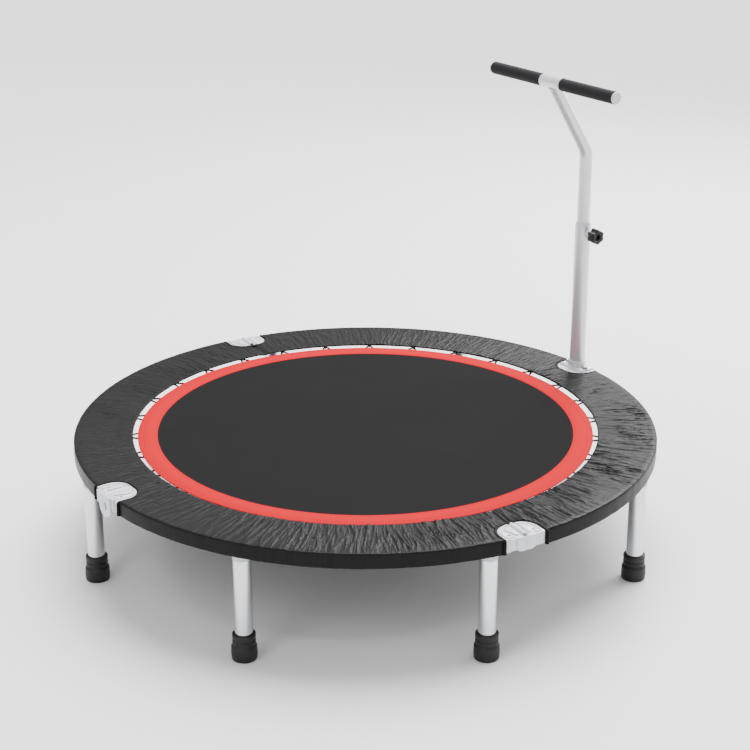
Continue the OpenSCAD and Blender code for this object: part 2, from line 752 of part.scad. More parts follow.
module bracket_bolts_rear() {
  color(zinc) {
    at(fold_deg) bracket_bolt(bracket_bolt_x);
    at(fold_deg + 180) bracket_bolt(-bracket_bolt_x);
  }
}
module bracket_bolts_front() {
  color(zinc) {
    at(fold_deg) bracket_bolt(-bracket_bolt_x);
    at(fold_deg + 180) bracket_bolt(bracket_bolt_x);
    for (s = [-1, 1]) at(cross_deg + 180) bracket_bolt(s * bracket_bolt_x);
  }
}
module post_foot() { color(satin) post_place() post_foot_shape(); }
module post_bolts() { color(zinc) post_place() post_bolts_shape(); }
module post_nuts() { color(zinc) post_place() post_nuts_shape(); }
module lower_post() { color(satin) post_place() lower_post_shape(); }
module post_bushing() { color(black_rubber) post_place() post_bushing_shape(); }
module clamp_boss() { color(satin) post_place() clamp_boss_shape(); }
module upper_post() { color(satin) post_place() upper_post_shape(); }
module crossbar() {
  color(satin) post_place()
    bar_tube(-bar_len / 2 + cap_t + 0.1, bar_len / 2 - cap_t - 0.1, bar_d / 2, bar_d / 2 - bar_wall);
}
module tee_sleeve() {
  color(satin) post_place() {
    bar_tube(-tee_len / 2, tee_len / 2, tee_r, bar_d / 2 + fix_clear);
    bar_tube(-tee_len / 2, -tee_len / 2 + 6, tee_r + 1.2, bar_d / 2 + fix_clear);
  }
}
module clamp_knob() { color(black_rubber) post_place() knob_shape(); }
module clamp_screw() { color(zinc) post_place() clamp_screw_shape(); }

frame_tube_right();
frame_tube_back();
frame_tube_left();
frame_tube_front();
leg_sockets(rear_legs);  // leg_sockets_rear
leg_sockets(front_legs);  // leg_sockets_front
leg_tubes(rear_legs);  // leg_tubes_rear
leg_tubes(front_legs);  // leg_tubes_front
leg_studs(rear_legs);  // leg_studs_rear
leg_studs(front_legs);  // leg_studs_front
rubber_feet(rear_legs);  // rubber_feet_rear
rubber_feet(front_legs);  // rubber_feet_front
mat_fabric(fold_deg);  // mat_fabric_rear
mat_fabric(fold_deg + 180);  // mat_fabric_front
mat_border(fold_deg);  // mat_border_rear
mat_border(fold_deg + 180);  // mat_border_front
mat_webbing(fold_deg, rear_springs);  // mat_webbing_rear
mat_webbing(fold_deg + 180, front_springs);  // mat_webbing_front
crease_tape(1);  // crease_tape_rear
crease_tape(-1);  // crease_tape_front
v_rings(rear_springs);  // v_rings_rear
v_rings(front_springs);  // v_rings_front
springs(rear_springs);  // springs_rear
springs(front_springs);  // springs_front
spring_eyes(rear_springs);  // spring_eyes_rear
spring_eyes(front_springs);  // spring_eyes_front
pad_cover(fold_deg);  // pad_cover_rear
pad_cover(fold_deg + 180);  // pad_cover_front
pad_foam(fold_deg);  // pad_foam_rear
pad_foam(fold_deg + 180);  // pad_foam_front
near_hinge_fixed_leaf();
near_hinge_moving_leaf();
near_hinge_pin();
far_hinge_fixed_leaf();
far_hinge_moving_leaf();
far_hinge_pin();
left_bracket_leaf();
left_bracket_ear_leaf();
left_bracket_rivet();
right_bracket_leaf();
right_bracket_ear_leaf();
right_bracket_rivet();
bracket_bolts_rear();
bracket_bolts_front();
post_foot();
post_bolts();
post_nuts();
lower_post();
post_bushing();
clamp_boss();
upper_post();
crossbar();
tee_sleeve();
grip(1);  // grip_left
grip(-1);  // grip_right
end_cap(1);  // end_cap_left
end_cap(-1);  // end_cap_right
clamp_knob();
clamp_screw();
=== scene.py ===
# %% [markdown]
# # A folding mini trampoline
# The object is a ring of steel tube on eight screw-on legs. A woven mat hangs in the ring from
# thirty springs, a gathered pad covers the springs, and a post with a T-bar stands on one bracket.
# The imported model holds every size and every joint. This script dresses it: cloth, wire, rubber,
# paint and chrome. Each step says what the piece is, how it could be made and why it is made so.

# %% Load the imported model
import json
from math import atan2, cos, hypot, pi, radians, sin, tan

import bmesh
import bpy
from mathutils import Matrix, Vector, noise

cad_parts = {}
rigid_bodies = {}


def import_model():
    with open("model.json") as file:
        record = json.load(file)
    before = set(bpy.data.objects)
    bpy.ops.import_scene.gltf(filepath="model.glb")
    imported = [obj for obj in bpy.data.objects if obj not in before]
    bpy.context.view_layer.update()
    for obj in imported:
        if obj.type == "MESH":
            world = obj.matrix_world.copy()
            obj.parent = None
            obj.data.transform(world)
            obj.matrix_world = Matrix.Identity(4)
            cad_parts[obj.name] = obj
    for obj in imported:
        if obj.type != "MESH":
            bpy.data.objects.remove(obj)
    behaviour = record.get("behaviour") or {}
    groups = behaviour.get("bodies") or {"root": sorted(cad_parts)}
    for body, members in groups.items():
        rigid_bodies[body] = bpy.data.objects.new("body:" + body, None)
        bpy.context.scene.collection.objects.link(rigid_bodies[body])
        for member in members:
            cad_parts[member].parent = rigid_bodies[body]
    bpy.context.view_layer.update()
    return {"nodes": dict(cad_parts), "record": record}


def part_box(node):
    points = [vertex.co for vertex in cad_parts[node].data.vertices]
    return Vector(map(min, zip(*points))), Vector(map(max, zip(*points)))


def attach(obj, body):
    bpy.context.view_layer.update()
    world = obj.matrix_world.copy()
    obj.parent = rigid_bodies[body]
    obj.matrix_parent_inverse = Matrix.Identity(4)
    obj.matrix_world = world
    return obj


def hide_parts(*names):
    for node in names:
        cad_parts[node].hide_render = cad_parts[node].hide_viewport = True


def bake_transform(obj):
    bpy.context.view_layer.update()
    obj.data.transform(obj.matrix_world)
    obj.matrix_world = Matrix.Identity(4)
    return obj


for thing in list(bpy.data.objects):
    bpy.data.objects.remove(thing)
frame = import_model()

# %% [markdown]
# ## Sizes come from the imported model
# The main radii, heights and bearings are measured on the nodes, and only small relief is given
# here as numbers. A bearing is an angle round the ring from the front (-Y) towards the right (+X),
# so a shape drawn at the front is turned by its bearing about Z.

# %% Measure the nodes
def radii(node):
    """Smallest and largest distance of a node's corners from the ring's axis."""
    reach = [hypot(v.co.x, v.co.y) for v in frame["nodes"][node].data.vertices]
    return min(reach), max(reach)


def heights(node):
    low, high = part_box(node)
    return low.z, high.z


def bearing(node):
    low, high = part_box(node)
    middle = (low + high) / 2
    return atan2(middle.x, -middle.y)


FOLD = bearing("near_hinge_pin")
CROSS = bearing("lower_post")
pad_in_r, pad_r = radii("pad_cover_rear")
skirt_z, pad_z = heights("pad_cover_rear")
foam_z = heights("pad_foam_rear")[0]
mat_r = radii("mat_fabric_rear")[1]
band_in_r = radii("mat_border_rear")[0]
fabric_low_z, fabric_z = heights("mat_fabric_rear")
mat_z = heights("mat_border_rear")[1]
axis_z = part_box("near_hinge_pin")[0].z / 2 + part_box("near_hinge_pin")[1].z / 2
print(f"fold line {FOLD:.3f} rad, pad radius {pad_r:.3f} m, mat radius {mat_r:.3f} m")

# %% [markdown]
# ## Helpers for shapes
# `rounded` turns a few corners into a smooth outline, so every outline keeps only the points that
# its shape needs. `turned` spins a profile as a lathe does, `prism` extrudes an outline and `rod`
# bends a round wire along a path.

# %% Outlines with round corners
def rounded(corners, closed=True, steps=5):
    """(x, y, radius) corners to 2D points; each corner with a radius becomes an arc."""
    points = []
    for i, (x, y, radius) in enumerate(corners):
        here = Vector((x, y))
        if not radius or not closed and i in (0, len(corners) - 1):
            points.append(here)
            continue
        back = (Vector(corners[i - 1][:2]) - here).normalized()
        ahead = (Vector(corners[(i + 1) % len(corners)][:2]) - here).normalized()
        half = back.angle(ahead) / 2
        centre = here + (back + ahead).normalized() * radius / sin(half)
        first = here + back * radius / tan(half) - centre
        last = here + ahead * radius / tan(half) - centre
        points += [centre + radius * first.slerp(last, k / steps) for k in range(steps + 1)]
    return points


def divided(points, step, wanted=lambda p: True):
    """The same closed outline with no wanted stretch longer than step."""
    out = []
    for here, there in zip(points, points[1:] + points[:1]):
        parts = max(1, round((there - here).length / step)) if wanted(here) and wanted(there) else 1
        out += [here.lerp(there, k / parts) for k in range(parts)]
    return out


# %% Lathe, extrusion and wire
def repeated(bm, places):
    """Copies of a bmesh, one at each place, in one bmesh."""
    mesh = bpy.data.meshes.new("part")
    bm.to_mesh(mesh)
    bm.free()
    whole = bmesh.new()
    for place in places:
        mesh.transform(place)
        whole.from_mesh(mesh)
        mesh.transform(place.inverted())
    bpy.data.meshes.remove(mesh)
    return whole


def turned(profile, steps=64, closed=True):
    """Spins an (r, z) profile about Z. A profile that is open starts and ends on the axis.
    A fine ring is spun as one sixteenth and copied round, which is much quicker."""
    parts = 16 if steps > 96 else 1
    bm = bmesh.new()
    ring = [bm.verts.new((p[0], 0, p[1])) for p in profile]
    pairs = list(zip(ring, ring[1:])) + ([(ring[-1], ring[0])] if closed else [])
    edges = [bm.edges.new(pair) for pair in pairs]
    bmesh.ops.spin(bm, geom=ring + edges, axis=(0, 0, 1), cent=(0, 0, 0), dvec=(0, 0, 0),
                   angle=2 * pi / parts, steps=round(steps / parts), use_merge=parts == 1,
                   use_duplicate=False)
    bm = repeated(bm, [Matrix.Rotation(2 * pi * k / parts, 4, "Z") for k in range(parts)])
    bmesh.ops.remove_doubles(bm, verts=bm.verts, dist=1e-5)
    bmesh.ops.recalc_face_normals(bm, faces=bm.faces)
    return bm


def prism(outline, low, high, matrix=Matrix()):
    """Extrudes a 2D outline from low to high along Z, then places it."""
    bm = bmesh.new()
    face = bm.faces.new([bm.verts.new((p[0], p[1], low)) for p in outline])
    grown = bmesh.ops.extrude_face_region(bm, geom=[face])["geom"]
    tops = [v for v in grown if isinstance(v, bmesh.types.BMVert)]
    bmesh.ops.translate(bm, verts=tops, vec=(0, 0, high - low))
    bmesh.ops.transform(bm, matrix=matrix, verts=bm.verts)
    bmesh.ops.recalc_face_normals(bm, faces=bm.faces)
    return bm


def rod(path, radius, cyclic=False, sides=2):
    """A round wire of that radius along a path of points, as a bmesh."""
    curve = bpy.data.curves.new("path", "CURVE")
    curve.dimensions = "3D"
    curve.bevel_depth = radius
    curve.bevel_resolution = sides
    curve.use_fill_caps = not cyclic
    spline = curve.splines.new("POLY")
    spline.points.add(len(path) - 1)
    for point, place in zip(spline.points, path):
        point.co = (*place, 1)
    spline.use_cyclic_u = cyclic
    holder = bpy.data.objects.new("path", curve)
    mesh = bpy.data.meshes.new_from_object(holder)
    bpy.data.objects.remove(holder)
    bm = bmesh.new()
    bm.from_mesh(mesh)
    bpy.data.meshes.remove(mesh)
    bmesh.ops.remove_doubles(bm, verts=bm.verts, dist=1e-6)
    bmesh.ops.recalc_face_normals(bm, faces=bm.faces)
    return bm


def joined(parts):
    """Several bmeshes in one."""
    whole = bmesh.new()
    for part in parts:
        mesh = bpy.data.meshes.new("part")
        part.to_mesh(mesh)
        part.free()
        whole.from_mesh(mesh)
        bpy.data.meshes.remove(mesh)
    return whole


def at(angle, x=0.0, y=0.0, z=0.0):
    """Matrix for a thing drawn at the front: it is moved first and then turned to a bearing."""
    return Matrix.Rotation(angle, 4, "Z") @ Matrix.Translation((x, y, z))


def moved(bm, matrix):
    bmesh.ops.transform(bm, matrix=matrix, verts=bm.verts)
    return bm


def soft_edges(bm, width, angle=35, segments=2):
    """Rounds every edge that is sharper than the angle."""
    sharp = [e for e in bm.edges if e.is_manifold and e.calc_face_angle() > radians(angle)]
    bmesh.ops.bevel(bm, geom=sharp, offset=width, offset_type="OFFSET", segments=segments,
                    profile=0.5, affect="EDGES", clamp_overlap=True, material=-1)
    return bm


# %% [markdown]
# A finished piece is an object at the origin whose place is in its mesh. It rides on one body of
# the imported model or on none, and it stands for the plain nodes it replaces.

# %% Make a piece from a bmesh
def piece(name, bm, material, body=None, stands_for=(), sharp=40):
    mesh = bpy.data.meshes.new(name)
    loose = sum(not edge.is_manifold for edge in bm.edges)
    bm.to_mesh(mesh)
    bm.free()
    mesh.shade_smooth()
    mesh.set_sharp_from_angle(angle=radians(sharp))
    mesh.materials.append(material)
    made = bpy.data.objects.new(name, mesh)
    bpy.context.scene.collection.objects.link(made)
    if body:
        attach(made, body)
    if stands_for:
        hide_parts(*stands_for)
    print(f"{name}: {len(mesh.polygons)} faces, {loose} open edges")
    return made


def boolean(bm, tool, operation):
    """The bmesh after a boolean with a closed tool. The manifold solver needs both closed, and
    leaves the bmesh whole when one is not, so piece() prints the open edges."""
    holders = []
    for part in (bm, tool):
        mesh = bpy.data.meshes.new("part")
        part.to_mesh(mesh)
        holders.append(bpy.data.objects.new("part", mesh))
        bpy.context.scene.collection.objects.link(holders[-1])
    cut = holders[0].modifiers.new("cut", "BOOLEAN")
    cut.object = holders[1]
    cut.operation = operation
    cut.solver = "MANIFOLD"
    done = holders[0].evaluated_get(bpy.context.evaluated_depsgraph_get())
    result = bmesh.new()
    result.from_mesh(done.to_mesh())
    done.to_mesh_clear()
    for holder in holders:
        bpy.data.objects.remove(holder)
    return result


def slab(s1, s2, y1=-1.0, y2=1.0):
    """A tall box beside the fold line, from s1 to s2 across it and from y1 to y2 along it."""
    bm = bmesh.new()
    bmesh.ops.create_cube(bm, size=1)
    middle = ((s1 + s2) / 2, (y1 + y2) / 2, 0.25)
    bmesh.ops.scale(bm, vec=(s2 - s1, y2 - y1, 0.4), verts=bm.verts)
    return moved(moved(bm, Matrix.Translation(middle)), Matrix.Rotation(FOLD, 4, "Z"))


def between(bm, s1, s2, y1=-1.0, y2=1.0):
    """What lies between two planes beside the fold line."""
    return boolean(bm, slab(s1, s2, y1, y2), "INTERSECT")


# %% [markdown]
# ## Helpers for finishes
# A material starts from what the real one is. Colours are sRGB hex values, turned to linear by one
# function, and one function adds a node with its settings and links.

# %% Colours and nodes
def linear(code):
    """An sRGB hex value as linear red, green, blue and alpha."""
    shares = [int(code[i:i + 2], 16) / 255 for i in (0, 2, 4)]
    return [c / 12.92 if c <= 0.04045 else ((c + 0.055) / 1.055) ** 2.4 for c in shares] + [1]


def add(tree, kind, inputs=None, **settings):
    """Adds a shader node. inputs maps a socket to a value or to the socket that feeds it."""
    node = tree.nodes.new("ShaderNode" + kind)
    for name, value in settings.items():
        setattr(node, name, value)
    for name, value in (inputs or {}).items():
        if isinstance(value, bpy.types.NodeSocket):
            tree.links.new(value, node.inputs[name])
        else:
            node.inputs[name].default_value = value
    return node


def material(title, roughness, **sockets):
    """A material with a Principled shader whose constants sit on its own sockets."""
    made = bpy.data.materials.new(title)
    made.use_nodes = True
    shader = made.node_tree.nodes["Principled BSDF"]
    shader.inputs["Roughness"].default_value = roughness
    names = {socket.name.lower().replace(" ", "_"): socket for socket in shader.inputs}
    for name, value in sockets.items():
        names[name].default_value = value
    return made, made.node_tree, shader


def mottled(tree, shader, dark, light, scale, place=None, detail=4.0):
    """Colour that drifts between two hex values over spots of that size. Returns the pattern."""
    place = place or add(tree, "TexCoord").outputs["Object"]
    spots = add(tree, "TexNoise", {"Vector": place, "Scale": 1 / scale, "Detail": detail})
    mix = add(tree, "Mix", {0: spots.outputs["Factor"] if "Factor" in spots.outputs
                            else spots.outputs[0], 6: linear(dark), 7: linear(light)},
              data_type="RGBA")
    tree.links.new(mix.outputs[2], shader.inputs["Base Color"])
    return spots.outputs[0]


def bumped(tree, shader, height, depth, strength=1.0):
    bump = add(tree, "Bump", {"Height": height, "Distance": depth, "Strength": strength})
    tree.links.new(bump.outputs["Normal"], shader.inputs["Normal"])
    return bump


# %% [markdown]
# ### Metals
# The ring, the brackets and the post are steel under a satin silver powder coat. A coat hides the
# metal, so it is not a mirror: it is a pale grey with soft, broad highlights and a faint orange
# peel of about 2 mm. The legs are chrome plated: a true mirror, a little blue. Bolts, pins, eyes
# and springs are zinc plated, which is greyer and duller, with a fine crystalline mottle.

# %% Steel finishes
def powder_coat(name, dark, light, roughness, metallic):
    made, tree, shader = material(name, roughness, metallic=metallic)
    mottled(tree, shader, dark, light, 0.05)
    peel = add(tree, "TexNoise", {"Vector": add(tree, "TexCoord").outputs["Object"],
                                  "Scale": 1 / 0.002, "Detail": 2.0})
    bumped(tree, shader, peel.outputs[0], 0.00004, 0.6)
    return made


silver_coat = powder_coat("silver powder coat on brackets", "cacbd3", "dcdde5", 0.36, 0.12)
post_coat = powder_coat("satin silver coat on the post", "d6d5db", "e2e1e7", 0.3, 0.4)
tube_coat = powder_coat("silver powder coat on the ring", "a9abb3", "bcbec6", 0.4, 0.3)


def chrome_plate():
    made, tree, shader = material("chromed steel", 0.05, metallic=1.0)
    wear = mottled(tree, shader, "cbced1", "dcdee1", 0.04)
    rub = add(tree, "MapRange", {"Value": wear, "From Min": 0.3, "From Max": 0.7,
                                 "To Min": 0.03, "To Max": 0.09})
    tree.links.new(rub.outputs[0], shader.inputs["Roughness"])
    return made


def zinc_plate():
    made, tree, shader = material("zinc plated steel", 0.34, metallic=0.9)
    grain = mottled(tree, shader, "9a9ea4", "b9bcc2", 0.003)
    bumped(tree, shader, grain, 0.00003, 0.5)
    return made


chrome = chrome_plate()
zinc = zinc_plate()

# %% [markdown]
# ### Plastics and rubber
# The feet are moulded rubber, matt with a fine spark-eroded grain. The knob and the bushing are
# nylon, the grips are closed-cell foam with open pores at the skin, and the V-rings are steel wire
# dipped in black plastic.

# %% Plastics, rubber and foam
def moulded(name, dark, light, roughness, grain, depth, specular=0.5):
    made, tree, shader = material(name, roughness, specular_ior_level=specular)
    mottled(tree, shader, dark, light, 0.02)
    skin = add(tree, "TexNoise", {"Vector": add(tree, "TexCoord").outputs["Object"],
                                  "Scale": 1 / grain, "Detail": 3.0})
    bumped(tree, shader, skin.outputs[0], depth, 0.7)
    return made


rubber = moulded("moulded rubber", "121212", "1a1a1a", 0.5, 0.0012, 0.00008, 0.35)
knob_nylon = moulded("moulded nylon", "111112", "19191a", 0.38, 0.0015, 0.00005, 0.4)
bushing_nylon = moulded("grey nylon", "3a3a3c", "454547", 0.45, 0.0015, 0.00005)
cap_plastic = moulded("silver painted plastic", "c4c5cb", "d3d4da", 0.3, 0.002, 0.00003)
dipped_wire = moulded("black dipped wire", "0a0a0a", "121212", 0.4, 0.003, 0.00005, 0.3)


def foam_skin():
    made, tree, shader = material("foam rubber", 0.7, specular_ior_level=0.15)
    place = add(tree, "TexCoord").outputs["Object"]
    mottled(tree, shader, "18181a", "242426", 0.006, place)
    pores = add(tree, "TexVoronoi", {"Vector": place, "Scale": 1 / 0.0016})
    bumped(tree, shader, pores.outputs["Distance"], 0.00025, 0.8)
    return made


grip_foam = foam_skin()

# %% [markdown]
# ### Cloth
# The pad's cover is coated polyester. It is gathered onto its seams, so its creases run along the
# ring's radius. The creases are in the mesh; the bump adds the fine crinkle between them. The
# pattern is laid out in polar coordinates: the unit vector towards a point, times a radius, stays
# even all the way round, with no seam.

# %% Coated pad cloth
def polar(tree, across_size, along_size, radius=0.55):
    """A pattern space that is short round the ring and long along its radius."""
    place = add(tree, "TexCoord").outputs["Object"]
    flat = add(tree, "VectorMath", {0: place, 1: (1, 1, 0)}, operation="MULTIPLY").outputs[0]
    unit = add(tree, "VectorMath", {0: flat}, operation="NORMALIZE").outputs[0]
    round_it = add(tree, "VectorMath", {0: unit, "Scale": radius / across_size}, operation="SCALE")
    reach = add(tree, "VectorMath", {0: flat}, operation="LENGTH").outputs["Value"]
    long_way = add(tree, "Math", {0: reach, 1: 1 / along_size}, operation="MULTIPLY").outputs[0]
    lift = add(tree, "CombineXYZ", {"Z": long_way}).outputs[0]
    return add(tree, "VectorMath", {0: round_it.outputs[0], 1: lift}, operation="ADD").outputs[0]


def coated_cloth(name, dark, light, roughness, crinkle, shine):
    made, tree, shader = material(name, roughness, specular_ior_level=shine)
    creases = add(tree, "TexNoise", {"Vector": polar(tree, 0.005, 0.03), "Scale": 1.0,
                                     "Detail": 4.0, "Roughness": 0.6})
    # the crease noise also sets the colour: lighter on the ridges as a painted highlight, darker in
    # the valleys as painted shade
    mix = add(tree, "Mix", {0: creases.outputs[0], 6: linear(dark), 7: linear(light)},
              data_type="RGBA")
    tree.links.new(mix.outputs[2], shader.inputs["Base Color"])
    grain = add(tree, "TexNoise", {"Vector": add(tree, "TexCoord").outputs["Object"],
                                   "Scale": 1 / 0.0025, "Detail": 2.0})
    fine = add(tree, "Bump", {"Height": grain.outputs[0], "Distance": 0.00008, "Strength": 0.5})
    # the skirt hangs smooth, so the crinkle dies away at the outer edge
    place = add(tree, "SeparateXYZ", {0: add(tree, "TexCoord").outputs["Object"]})
    flat = add(tree, "CombineXYZ", {"X": place.outputs["X"], "Y": place.outputs["Y"]})
    reach = add(tree, "VectorMath", {0: flat.outputs[0]}, operation="LENGTH").outputs["Value"]
    inner = add(tree, "MapRange", {"Value": reach, "From Min": pad_r - 0.003,
                                   "From Max": pad_r - 0.012, "To Min": 0.06, "To Max": 1})
    height = add(tree, "Math", {0: creases.outputs[0], 1: inner.outputs[0]}, operation="MULTIPLY")
    bump = bumped(tree, shader, height.outputs[0], crinkle)
    tree.links.new(fine.outputs["Normal"], bump.inputs["Normal"])
    return made


# the lighter value of each finish is painted highlight on the crease ridges, the darker is painted
# shade in the valleys
pad_cloth = coated_cloth("gathered coated polyester", "101010", "1c1c1c", 0.36, 0.002, 0.07)
binding_tape = coated_cloth("bound edge tape", "060606", "0c0c0c", 0.6, 0.0002, 0.1)

# %% [markdown]
# The mat is woven from flat black polypropylene yarn about 1 mm wide. That is too fine to show from
# where the mat is looked at, so the weave is drawn at 3 mm. The band and the webbing are polyester
# tapes with a rib across them.

# %% Woven cloth
def woven(name, dark, light, roughness, pitch, depth, turn=0.0, **sockets):
    made, tree, shader = material(name, roughness, **sockets)
    place = add(tree, "Mapping", {"Vector": add(tree, "TexCoord").outputs["Object"],
                                  "Rotation": (0, 0, turn)}).outputs[0]
    waves_per_metre = 2 * pi / 20 / pitch
    warp = add(tree, "TexWave", {"Vector": place, "Scale": waves_per_metre}, bands_direction="X")
    weft = add(tree, "TexWave", {"Vector": place, "Scale": waves_per_metre}, bands_direction="Y")
    cross = add(tree, "Math", {0: warp.outputs[1], 1: weft.outputs[1]}, operation="MULTIPLY")
    drift = add(tree, "TexNoise", {"Vector": place, "Scale": 1 / 0.09, "Detail": 5.0})
    # the colour follows the weave's height times a random drift: lighter on the raised crossings as
    # a painted highlight, darker in the dips as painted shade
    shade = add(tree, "Math", {0: cross.outputs[0], 1: drift.outputs[0]}, operation="MULTIPLY")
    mix = add(tree, "Mix", {0: shade.outputs[0], 6: linear(dark), 7: linear(light)},
              data_type="RGBA")
    tree.links.new(mix.outputs[2], shader.inputs["Base Color"])
    bumped(tree, shader, cross.outputs[0], depth, 0.8)
    return made


# in each weave the lighter value is painted highlight on the raised crossings and the darker is
# painted shade in the dips, with a random drift in tone
mat_weave = woven("woven polypropylene", "1d1d1d", "262626", 0.8, 0.003, 0.0002, FOLD,
                  specular_ior_level=0.02)
red_band = woven("red polyester band", "b90f1d", "c21422", 0.7, 0.0022, 0.0001, FOLD,
                 specular_ior_level=0.03)
black_tape = woven("black polyester webbing", "0e0e0e", "171717", 0.7, 0.0018, 0.0002,
                   specular_ior_level=0.1)
red_thread = woven("red sewing thread", "a30c18", "ac101c", 0.6, 0.001, 0.00005,
                   specular_ior_level=0.05)

# %% [markdown]
# ## The safety pad
# A padded ring of cloth: a thin closed-cell foam sheet in a coated cover whose outer side hangs
# down as a skirt. The cloth is gathered onto its seams, which throws hundreds of small creases
# across it. It could be a cloth simulation, but a gathered ring of this size needs millions of
# points. So one closed profile is spun in fine steps and its points are lifted by a crease
# function that is narrow round the ring and long across it. The whole ring is made first and cut
# afterwards, so every crease runs on from one piece to the next.

# %% Crease function
MEAN_R = (pad_in_r + pad_r) / 2
CREASE_LIFT = 0.0050
SOFT_FOLD = 0.0022


def gathers(angle, r):
    """Height of the gathered cloth at a place, from 0 in its valleys to about 1 on its ridges."""
    x, y = MEAN_R * cos(angle), MEAN_R * sin(angle)
    drift = 0.009 * noise.noise((x / 0.06, y / 0.06, r / 0.09)) / MEAN_R
    x, y = MEAN_R * cos(angle + drift), MEAN_R * sin(angle + drift)
    broad = 1 - abs(noise.noise((x / 0.013, y / 0.013, r / 0.11)))
    fine = 1 - abs(noise.noise((x / 0.0075, y / 0.0075, r / 0.07 + 9)))
    patch = 0.7 + 0.6 * noise.noise((x / 0.09, y / 0.09, r / 0.09 + 3))
    pull = 0.72 + 0.3 * cos(angle - 0.7)
    return patch * pull * (0.65 * broad ** 7 + 0.35 * fine ** 6)


# %% The whole ring of the pad
PAD_STEPS = 2300
SKIRT_T = 0.0018


def pad_ring():
    corners = [(pad_in_r, foam_z, 0.001), (pad_r - SKIRT_T, foam_z, 0),
               (pad_r - SKIRT_T, skirt_z, 0.0008), (pad_r, skirt_z, 0.0008),
               (pad_r, pad_z, 0.0035), (pad_in_r, pad_z, 0.0022)]
    outline = rounded(corners)
    outline = divided(outline, 0.0035, lambda p: p.y > pad_z - 0.004)
    outline = divided(outline, 0.006, lambda p: p.x > pad_r - 0.001)
    bm = turned(divided(outline, 0.02), PAD_STEPS)
    for v in bm.verts:
        r, angle = hypot(v.co.x, v.co.y), atan2(v.co.x, -v.co.y)
        top = min(1, max(0, (v.co.z - foam_z) / (pad_z - foam_z)))
        near_seam = min(1, max(0, (pad_r - r) / 0.012))
        near_hole = max(0, 1 - (r - pad_in_r) / 0.012)
        height = gathers(angle, r)
        s = v.co.x * cos(FOLD) + v.co.y * sin(FOLD)
        dip = SOFT_FOLD / (1 + (s / 0.008) ** 4)
        v.co.z += CREASE_LIFT * (height - 0.3) * top * (0.12 + 0.88 * near_seam) - dip
        wave = 0.0012 * (height - 0.3) * near_hole
        wave += 0.0005 * noise.noise((40 * v.co.x, 40 * v.co.y, 60 * v.co.z)) * (1 - near_seam)
        v.co.x *= 1 + wave / r
        v.co.y *= 1 + wave / r
    return bm


# %% [markdown]
# Four D-shaped notches bare the hinge brackets. They are cut with a boolean, because the ring is
# closed and the cut has to leave a clean wall. The ring is then cut into two halves, which ride on
# the two halves of the frame, and two short strips across the fold line, which ride on no body.

# %% Notches and halves
NOTCH_HALF, NOTCH_DEPTH, NOTCH_CORNER = 0.047, 0.060, 0.038
STRIP = 0.025
NOTCHES = [FOLD, CROSS, FOLD + pi, CROSS + pi]
notch_in = -(pad_r - NOTCH_DEPTH)


def notched(bm):
    far = -(pad_r + 0.02)
    outline = rounded([(-NOTCH_HALF, far, 0), (NOTCH_HALF, far, 0),
                       (NOTCH_HALF, notch_in, NOTCH_CORNER), (-NOTCH_HALF, notch_in, NOTCH_CORNER)],
                      steps=14)
    tools = [prism(outline, skirt_z - 0.02, pad_z + 0.02, at(a)) for a in NOTCHES]
    return boolean(bm, joined(tools), "DIFFERENCE")


def in_quarters(bm, half):
    """A ring cut for the fold: the two halves and the near and far strips between them."""
    return {"rear": between(bm, half, 1), "front": between(bm, -1, -half),
            "near": between(bm, -half, half, -1, 0), "far": between(bm, -half, half, 0, 1)}


def dress_ring(name, bm, half, finish, replaced=None):
    """Makes the four pieces of a ring that crosses the fold line."""
    made = {}
    for part, cut in in_quarters(bm, half).items():
        body = "frame_" + part if part in ("rear", "front") else None
        stands_for = replaced[part] if replaced and part in replaced else ()
        made[part] = piece(f"{name}_{part}", cut, finish, body, stands_for)
        if body is None:
            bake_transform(made[part])
    return made


pad = dress_ring("pad", notched(pad_ring()), STRIP, pad_cloth,
                 {"rear": ["pad_cover_rear", "pad_foam_rear"],
                  "front": ["pad_cover_front", "pad_foam_front"]})

# %% [markdown]
# Each notch is bound with black tape, folded over the raw edge and sewn. It is a round cord to the
# eye, so a wire along the notch's outline makes it, down both ends of the skirt.

# %% Bound edges of the notches
TAPE_R = 0.0040


def notch_binding():
    z = pad_z - 0.0038
    outer = -(pad_r - 0.0012)
    drop = rounded([(outer, skirt_z + 0.001, 0), (outer, z, 0.004), (outer + 0.012, z, 0)], False)
    plan = rounded([(-NOTCH_HALF, outer + 0.013, 0), (-NOTCH_HALF, notch_in, NOTCH_CORNER),
                    (NOTCH_HALF, notch_in, NOTCH_CORNER), (NOTCH_HALF, outer + 0.013, 0)],
                   False, steps=20)
    left = [Vector((-NOTCH_HALF, p.x, p.y)) for p in drop]
    right = [Vector((NOTCH_HALF, p.x, p.y)) for p in reversed(drop)]
    # extra points on the straight stretch let it bend at the fold
    flat = divided([Vector((p.x, p.y, z)) for p in plan], 0.003, lambda p: p.y > notch_in - 0.001)
    return rod(left + flat[:-1] + right, TAPE_R, sides=3)


bindings = joined([moved(notch_binding(), at(a)) for a in NOTCHES])
dress_ring("notch_binding", bindings, STRIP, binding_tape)

# %% [markdown]
# Under the pad, elastic straps loop round the ring's tube and hold the pad down. Each is a flat
# band 18 mm wide, bent round the tube as an open line and thickened.

# %% Elastic straps
RING_R = sum(radii("frame_tube_back")) / 2
TUBE_Z = sum(heights("frame_tube_back")) / 2
TUBE_R = (heights("frame_tube_back")[1] - heights("frame_tube_back")[0]) / 2
STRAP_W = 0.018
STRAP_BEARINGS = [radians(b) for b in (53, 89, 137, 185)]


